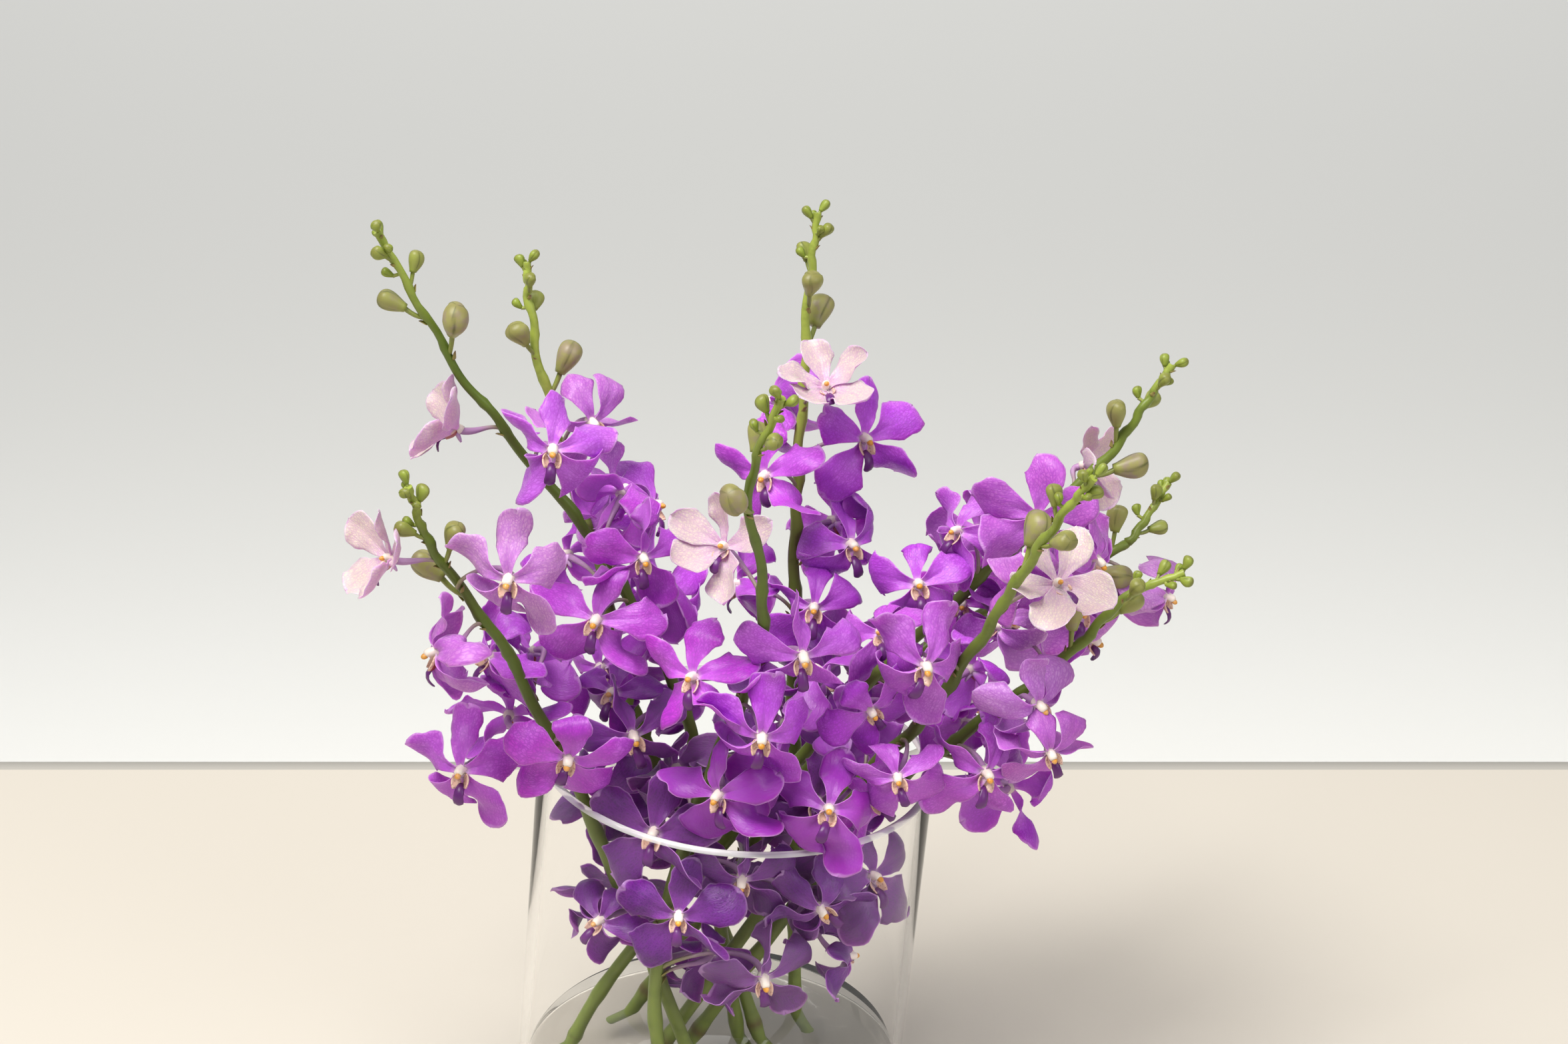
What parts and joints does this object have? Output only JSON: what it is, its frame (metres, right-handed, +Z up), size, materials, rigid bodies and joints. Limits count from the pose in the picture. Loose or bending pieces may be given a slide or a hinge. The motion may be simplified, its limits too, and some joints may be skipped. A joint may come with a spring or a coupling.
{
  "type": "mokara orchid",
  "caption": "Cut mokara orchid sprays with purple blooms and green buds, standing in a leaning clear glass cylinder vase with shallow water.",
  "frame": {"origin": "middle of the vase's flat foot, on the surface that it stands on", "axes": "+Z up, +X to the side that the vase leans to (right in the picture), -Y towards the viewer"},
  "size_m": [0.3889, 0.2479, 0.4806],
  "materials": {
    "glass": "clear, polished",
    "water": "clear liquid",
    "petal": "soft, netted with darker veins",
    "stem": "waxy",
    "bud": "waxy",
    "lip": "velvety"
  },
  "bodies": {
    "root": {"vase": "glass", "water": "water", "spray_left_tall": "petal", "spray_left_back": "petal", "spray_left_low": "petal", "spray_centre_back": "petal", "spray_centre_front": "petal", "spray_right_top": "petal", "spray_right_back": "petal", "spray_right_front": "petal", "spray_right_low": "petal"}
  },
  "joints": []
}
